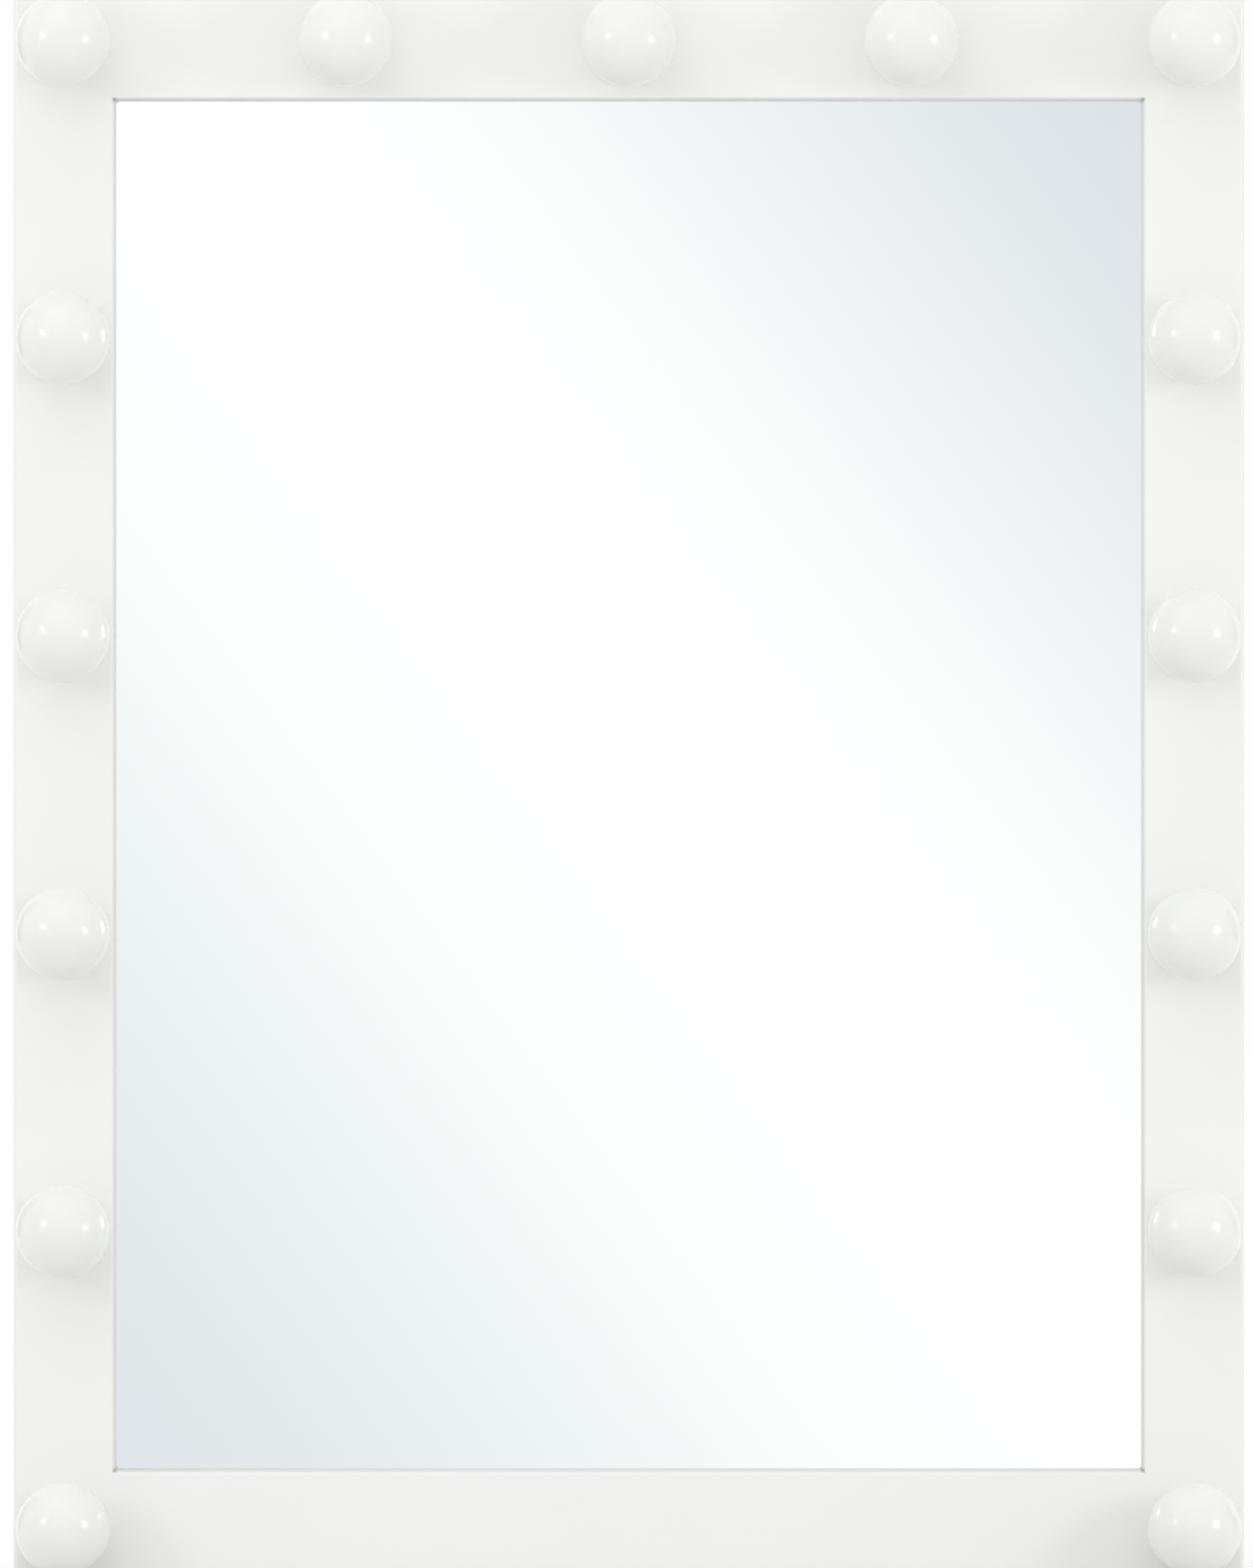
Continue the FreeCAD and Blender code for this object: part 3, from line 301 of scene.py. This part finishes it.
# bare and plated metals: two colours, roughness range, brushing along X, Y and Z, its height
metalLooks = {
    "zincPlate": ("#C9CCCE", "#B9BFC6", (0.28, 0.42), (240.0, 240.0, 240.0), 8 * micron),
    "chromePlate": ("#CBCDCF", "#BEC1C4", (0.05, 0.10), (90.0, 90.0, 20.0), 2 * micron),
    "nickelPlate": ("#D8D4CA", "#C8C4BA", (0.18, 0.30), (400.0, 60.0, 400.0), 4 * micron),
    "pressedBrass": ("#D9BE78", "#C4A55E", (0.25, 0.38), (180.0, 180.0, 180.0), 8 * micron),
    "pressedMetal": ("#B9BABB", "#A8A9AB", (0.32, 0.45), (700.0, 90.0, 700.0), 8 * micron),
    "solder": ("#C8C9CA", "#B2B4B6", (0.22, 0.40), (900.0, 900.0, 900.0), 20 * micron),
}


metalTexture = {"strokes": 6.0, "clouds": 70.0}


def plated(name):
    base, other, rough, brushing, height = metalLooks[name]
    material, graph = newMaterial(name)
    where = graph.add("ShaderNodeTexCoord").take("Object")
    stretched = graph.add("ShaderNodeMapping", {}, {"Vector": where, "Scale": brushing})
    brushed = graph.noise(stretched, metalTexture["strokes"], 3.0, 0.6)
    cloud = graph.window(graph.noise(where, metalTexture["clouds"], 3.0), *cloudSpan)
    colour = graph.mixColour(cloud, hexColour(base), hexColour(other))
    finishMaterial(graph, {"Base Color": colour, "Metallic": 1.0,
                           "Roughness": graph.spread(brushed, *rough),
                           "Normal": graph.bump(brushed, 1.0, height)})
    return material


# hardboard behind the glass
hardboardLook = {"stops": [(0.25, "#4A3220"), (0.5, "#6B4A2E"), (0.75, "#8A6542")], "fibres": 900.0,
                 "fibreShare": 0.7, "patches": 35.0, "patchShare": 0.3, "stretch": (1.0, 1.0, 0.35),
                 "rough": (0.55, 0.8), "strength": 0.8, "height": 40 * micron}


def hardboard(name, look):
    material, graph = newMaterial(name)
    where = graph.add("ShaderNodeTexCoord").take("Object")
    bent = graph.add("ShaderNodeMapping", {}, {"Vector": where, "Scale": look["stretch"]})
    fibres = graph.noise(bent, look["fibres"], 5.0, 0.7)
    patches = graph.noise(where, look["patches"], 4.0)
    depth = fibres * look["fibreShare"] + patches * look["patchShare"]
    colour = graph.ramp(depth, [(at, hexColour(code)) for at, code in look["stops"]])
    finishMaterial(graph, {"Base Color": colour, "Roughness": graph.spread(fibres, *look["rough"]),
                           "Normal": graph.bump(fibres, look["strength"], look["height"])})
    return material


# green circuit board with copper tracks under its lacquer
circuitLook = {"track": "#3F8A5A", "between": "#1E5A38", "cells": 320.0, "uneven": 0.35,
               "edge": (0.06, 0.1), "rough": (0.25, 0.4), "strength": 0.8, "height": 30 * micron}


def circuit(name, look):
    material, graph = newMaterial(name)
    where = graph.add("ShaderNodeTexCoord").take("Object")
    cells = graph.add("ShaderNodeTexVoronoi", {"feature": "DISTANCE_TO_EDGE", "distance": "MANHATTAN"},
                      {"Vector": where, "Scale": look["cells"], "Randomness": look["uneven"]})
    between = graph.window(cells, *look["edge"])
    colour = graph.mixColour(between, hexColour(look["track"]), hexColour(look["between"]))
    finishMaterial(graph, {"Base Color": colour, "Roughness": graph.spread(between, *look["rough"]),
                           "Normal": graph.bump(1 - between, look["strength"], look["height"])})
    return material


# lacquered copper wire of the coil
coilLook = {"gap": "#8C4B22", "wire": "#D07A3C", "turns": 380.0, "uneven": 0.2, "rough": (0.3, 0.45),
            "metal": 0.8, "height": 200 * micron}


def coilWinding(name, look):
    material, graph = newMaterial(name)
    where = graph.add("ShaderNodeTexCoord").take("Object")
    wave = graph.add("ShaderNodeTexWave", {"wave_type": "BANDS", "bands_direction": "Y"},
                     {"Vector": where, "Scale": look["turns"], "Distortion": look["uneven"]})
    colour = graph.mixColour(wave, hexColour(look["gap"]), hexColour(look["wire"]))
    finishMaterial(graph, {"Base Color": colour, "Metallic": look["metal"],
                           "Roughness": graph.spread(wave, *look["rough"]),
                           "Normal": graph.bump(wave, 1.0, look["height"])})
    return material


# the switch's rocker: a printed bar at one end and a ring at the other
rockerLook = {"plastic": "blackPlastic", "mark": "#E4E4E1", "fromMiddle": 4.6 * mm,
              "barHalf": (0.32 * mm, 1.5 * mm), "ringRadius": 1.35 * mm,
              "ringHalf": 0.3 * mm, "soft": 0.06 * mm}


def markedRocker(name, look):
    material, graph = newMaterial(name)
    where = graph.add("ShaderNodeTexCoord").take("Object")
    apart = graph.add("ShaderNodeSeparateXYZ", {}, {0: where})
    rockerLow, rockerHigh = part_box("switch_rocker")
    across = apart.take("X") - (rockerLow.x + rockerHigh.x) / 2
    along = apart.take("Z") - (rockerLow.z + rockerHigh.z) / 2
    barWide, barLong = look["barHalf"]
    ringWide = look["ringHalf"]
    soft = look["soft"]
    barSide = 1 - graph.window(abs(across), barWide, barWide + soft)
    barEnd = 1 - graph.window(abs(along - look["fromMiddle"]), barLong, barLong + soft)
    down = along + look["fromMiddle"]
    reach = (across * across + down * down).math("SQRT")
    ring = 1 - graph.window(abs(reach - look["ringRadius"]), ringWide, ringWide + soft)
    skin = mouldedSkin(graph, where, look["plastic"])
    marked = barSide * barEnd + ring
    skin["Base Color"] = graph.mixColour(marked, skin["Base Color"], hexColour(look["mark"]))
    finishMaterial(graph, skin)
    return material


made = {name: moulded(name) for name in mouldLooks}
made.update({name: plated(name) for name in metalLooks})
made["powderCoat"] = powderCoat("powderCoat", coatLook)
made["framedCoat"] = powderCoat("framedCoat", {**coatLook, **creaseLook})
made["opalPlastic"] = opalPlastic("opalPlastic", opalLook)
made["silverFront"] = silver("silverFront", silverLook)
made["groundEdge"] = groundEdge("groundEdge", edgeLook)
made["backPaint"] = backPaint("backPaint", paintLook)
made["hardboard"] = hardboard("hardboard", hardboardLook)
made["circuitBoard"] = circuit("circuitBoard", circuitLook)
made["coilWinding"] = coilWinding("coilWinding", coilLook)
made["markedRocker"] = markedRocker("markedRocker", rockerLook)
print("materials made:", len(made))

nodeFinish = {
    "front_frame": "framedCoat", "rear_cover": "powderCoat", "lip_gasket": "foamStrip",
    "backing_board": "hardboard", "mirror_clips": "zincPlate", "clip_studs": "zincPlate",
    "cover_screws": "zincPlate", "keyhole_plates": "zincPlate", "panel_nuts": "zincPlate",
    "stand_brackets": "zincPlate", "bracket_rivets": "zincPlate",
    "lampholder_rings": "whiteMoulding", "lampholder_housings": "whiteMoulding",
    "lampholder_contacts": "pressedBrass", "wiring": "cableJacket", "cable_clips": "naturalNylon",
    "driver_case": "casePlastic", "driver_lid": "casePlastic", "switch_housing": "blackPlastic",
    "switch_rocker": "markedRocker", "dimmer_knob": "blackPlastic",
    "power_inlet": "blackPlastic", "dimmer_body": "pressedMetal", "dimmer_shaft": "pressedMetal",
    "stand_wire": "chromePlate", "stand_sleeves": "blackRubber", "base_pads": "blackRubber",
    "wall_bumpers": "blackRubber",
}


def paint(node, *names):
    mesh = nodes[node].data
    mesh.materials.clear()
    for name in names:
        mesh.materials.append(made[name])


def paintBy(node, names, choose):
    # choose(centre, normal) gives each face's place in names
    paint(node, *names)
    for face in nodes[node].data.polygons:
        face.material_index = choose(face.center, face.normal)


for node, name in nodeFinish.items():
    paint(node, name)


flatNormal = 0.9  # a normal beyond this along Y belongs to the glass's front or back, not its edge


def glassFace(centre, normal):
    if normal.y < -flatNormal:
        return 0
    return 2 if normal.y > flatNormal else 1


paintBy("mirror_glass", ["silverFront", "groundEdge", "backPaint"], glassFace)

# places along a lamp's axis, behind the frame's face
lampPlaces = {"capStart": 1.6 * mm, "insulator": 15.7 * mm, "tip": 18.7 * mm}


def baseFace(centre, normal):
    depth = centre.y - faceY
    if depth < lampPlaces["capStart"] - hair:
        return 0
    if depth < lampPlaces["insulator"]:
        return 1
    return 2 if depth < lampPlaces["tip"] else 3


baseNames = ["whiteMoulding", "nickelPlate", "insulatorGlass", "solder"]
lampCount = sum(name.startswith("bulb_globe_") for name in nodes)
for i in range(1, lampCount + 1):
    paint(f"bulb_globe_{i:02d}", "opalPlastic")
    paintBy(f"bulb_base_{i:02d}", baseNames, baseFace)

# the driver's board and the parts along it: where each ends, as a share of its length
boardLow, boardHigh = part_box("driver_board")
boardPlaces = {"thick": 1.6 * mm, "coil": 0.5, "chip": 0.7}


def boardFace(centre, normal):
    if centre.y < boardLow.y + boardPlaces["thick"] + hair:
        return 0
    along = (centre.x - boardLow.x) / (boardHigh.x - boardLow.x)
    if along < boardPlaces["coil"]:
        return 1 if centre.z > (boardLow.z + boardHigh.z) / 2 else 2  # the capacitor is above the coil
    return 3 if along < boardPlaces["chip"] else 4


boardNames = ["circuitBoard", "capacitorSleeve", "coilWinding", "blackPlastic", "pressedMetal"]
paintBy("driver_board", boardNames, boardFace)
print("nodes painted:", len(nodes))

# studio floor: white to the eye, and it keeps the object's shadow
floorLook = {"seenColour": "#EFEFEF", "bounceColour": "#E9E9E9", "nearLift": 0.10, "farLift": 0.25,
             "reach": (0.9, 2.6), "size": 14.0}


def buildFloor(look):
    mesh = bpy.data.meshes.new("studioFloor")
    shape = bmesh.new()
    bmesh.ops.create_grid(shape, x_segments=8, y_segments=8, size=look["size"])
    shape.to_mesh(mesh)
    shape.free()
    floor = bpy.data.objects.new("studioFloor", mesh)
    bpy.context.scene.collection.objects.link(floor)
    material, graph = newMaterial("studioFloor")
    rays = graph.add("ShaderNodeLightPath")
    seen = rays.take("Is Camera Ray") + rays.take("Is Glossy Ray") + rays.take("Is Transmission Ray")
    where = graph.add("ShaderNodeTexCoord").take("Object")
    reach = graph.add("ShaderNodeVectorMath", {"operation": "LENGTH"}, {0: where})
    away = graph.window(reach, *look["reach"])
    lift = graph.mixColour(away, grey(look["nearLift"]), grey(look["farLift"]))
    glow = graph.mixColour(seen, grey(0), lift)
    surface = graph.mixColour(seen, hexColour(look["bounceColour"]), hexColour(look["seenColour"]))
    diffuse = graph.add("ShaderNodeBsdfDiffuse", {}, {"Color": surface})
    light = graph.add("ShaderNodeEmission", {}, {"Color": glow, "Strength": 1.0})
    both = graph.add("ShaderNodeAddShader", {}, {0: diffuse, 1: light})
    graph.add("ShaderNodeOutputMaterial", {}, {"Surface": both})
    mesh.materials.append(material)


buildFloor(floorLook)

# a striped reflector before the mirror, seen only in reflections: soft diagonal bands, faded at its rim
bandLook = {"distance": 0.5, "strength": 1.155, "halfSize": (0.29, 0.37), "fade": (10 * mm, 60 * mm),
            "width": 0.417, "height": 0.556, "rim": 1.04,
            "bands": [(0.0, "#DDDEE4"), (0.125, "#E4E5E8"), (0.25, "#EFEFF1"), (0.375, "#FBF9FA"),
                      (0.5, "#FFFBFC"), (0.625, "#FEFAFB"), (0.75, "#F3F1F3"), (0.875, "#E4E4E9"),
                      (1.0, "#D9DBE1")]}


def seenInReflections(thing):
    thing.visible_camera = False
    thing.visible_diffuse = False
    thing.visible_transmission = False
    thing.visible_shadow = False


def buildReflector(look, cameraDistance):
    mesh = bpy.data.meshes.new("bandReflector")
    side, end = look["halfSize"]
    y = faceY - look["distance"]
    corners = [(-side, y, middleZ - end), (side, y, middleZ - end),
               (side, y, middleZ + end), (-side, y, middleZ + end)]
    mesh.from_pydata(corners, [], [(3, 2, 1, 0)])
    board = bpy.data.objects.new("bandReflector", mesh)
    bpy.context.scene.collection.objects.link(board)
    material, graph = newMaterial("bandReflector")
    where = graph.add("ShaderNodeTexCoord").take("Object")
    apart = graph.add("ShaderNodeSeparateXYZ", {}, {0: where})
    spread = 1 + look["distance"] / cameraDistance
    width, height = look["width"] * spread, look["height"] * spread
    across = apart.take("X") / width
    up = (apart.take("Z") - middleZ) / height
    place = (across + up + 1).math("PINGPONG", 2.0) / 2
    colour = graph.ramp(place, [(at, hexColour(code)) for at, code in look["bands"]], "B_SPLINE")
    past = (abs(across) - 0.5) * width
    beyond = (abs(up) - 0.5) * height
    edge = graph.window(past.math("MAXIMUM", beyond), *look["fade"])
    colour = graph.mixColour(edge, colour, grey(look["rim"] / look["strength"]))
    glow = graph.add("ShaderNodeEmission", {}, {"Color": colour, "Strength": look["strength"]})
    graph.add("ShaderNodeOutputMaterial", {}, {"Surface": glow})
    mesh.materials.append(material)
    seenInReflections(board)


# dark panels behind the mirror, seen only in bright metal: each one's x, y and half width
panelLook = {"grey": "#5E6264", "foot": 0.02, "height": 1.6,
             "places": [(-1.5, 1.1, 0.35), (0.55, 2.4, 0.3), (2.1, 0.9, 0.35)]}


def buildPanels(look):
    for number, (x, y, width) in enumerate(look["places"]):
        mesh = bpy.data.meshes.new("darkPanel")
        across = Vector((-y, x, 0)).normalized() * width
        foot = Vector((x, y, look["foot"]))
        top = foot + Vector((0, 0, look["height"]))
        mesh.from_pydata([foot - across, foot + across, top + across, top - across], [], [(0, 1, 2, 3)])
        panel = bpy.data.objects.new(f"darkPanel{number}", mesh)
        bpy.context.scene.collection.objects.link(panel)
        material, graph = newMaterial(f"darkPanel{number}")
        glow = graph.add("ShaderNodeEmission", {}, {"Color": hexColour(look["grey"]), "Strength": 1.0})
        graph.add("ShaderNodeOutputMaterial", {}, {"Surface": glow})
        mesh.materials.append(material)
        seenInReflections(panel)


# camera: level, square to the mirror and far away
cameraLook = {"distance": 7.0, "heightSeen": 0.6366, "asideX": -0.9 * mm, "asideZ": 0.4 * mm,
              "sensor": 36, "clipEnd": 60}


def buildCamera(look):
    data = bpy.data.cameras.new("mainCamera")
    data.sensor_width = look["sensor"]
    data.lens = data.sensor_width * look["distance"] / look["heightSeen"]
    data.clip_end = look["clipEnd"]
    camera = bpy.data.objects.new("mainCamera", data)
    camera.location = (look["asideX"], faceY - look["distance"], middleZ + look["asideZ"])
    camera.rotation_euler = (math.pi / 2, 0, 0)
    bpy.context.scene.collection.objects.link(camera)
    bpy.context.scene.camera = camera


buildReflector(bandLook, cameraLook["distance"])
buildPanels(panelLook)
buildCamera(cameraLook)

# softboxes: place, size and power
softboxes = {
    "softboxLeft": ((-2.05, -1.60, 0.98), 0.65, 5.7),
    "softboxRight": ((2.18, -1.45, 0.66), 0.65, 8.8),
    "softboxTop": ((-0.60, -0.90, 1.75), 1.6, 3.6),
    "softboxBackLeft": ((-1.3, 1.3, 1.0), 0.8, 3.0),
    "softboxBackRight": ((1.1, 1.5, 0.7), 0.8, 2.5),
}


def buildLights():
    for name, (place, size, power) in softboxes.items():
        data = bpy.data.lights.new(name, "AREA")
        data.shape = "SQUARE"
        data.size = size
        data.energy = power
        lamp = bpy.data.objects.new(name, data)
        lamp.location = place
        aim = Vector((0, 0, middleZ)) - Vector(place)
        lamp.rotation_euler = aim.to_track_quat("-Z", "Y").to_euler()
        lamp.visible_camera = False
        lamp.visible_glossy = place[1] < 0  # the ones behind would edge the globes with white
        bpy.context.scene.collection.objects.link(lamp)


# world: white to the eye and in reflections, a little dimmer as a light
worldLook = {"light": 0.92, "seen": 1.0}


def buildWorld(look):
    world = bpy.data.worlds.new("studio")
    world.use_nodes = True
    graph = Graph(world.node_tree)
    rays = graph.add("ShaderNodeLightPath")
    seen = rays.take("Is Camera Ray") + rays.take("Is Glossy Ray") + rays.take("Is Transmission Ray")
    strength = seen * (look["seen"] - look["light"]) + look["light"]
    sky = graph.add("ShaderNodeBackground", {}, {"Color": grey(1), "Strength": strength})
    graph.add("ShaderNodeOutputWorld", {}, {"Surface": sky})
    bpy.context.scene.world = world


buildLights()
buildWorld(worldLook)
bpy.context.scene.view_settings.view_transform = "Standard"
print("studio ready")
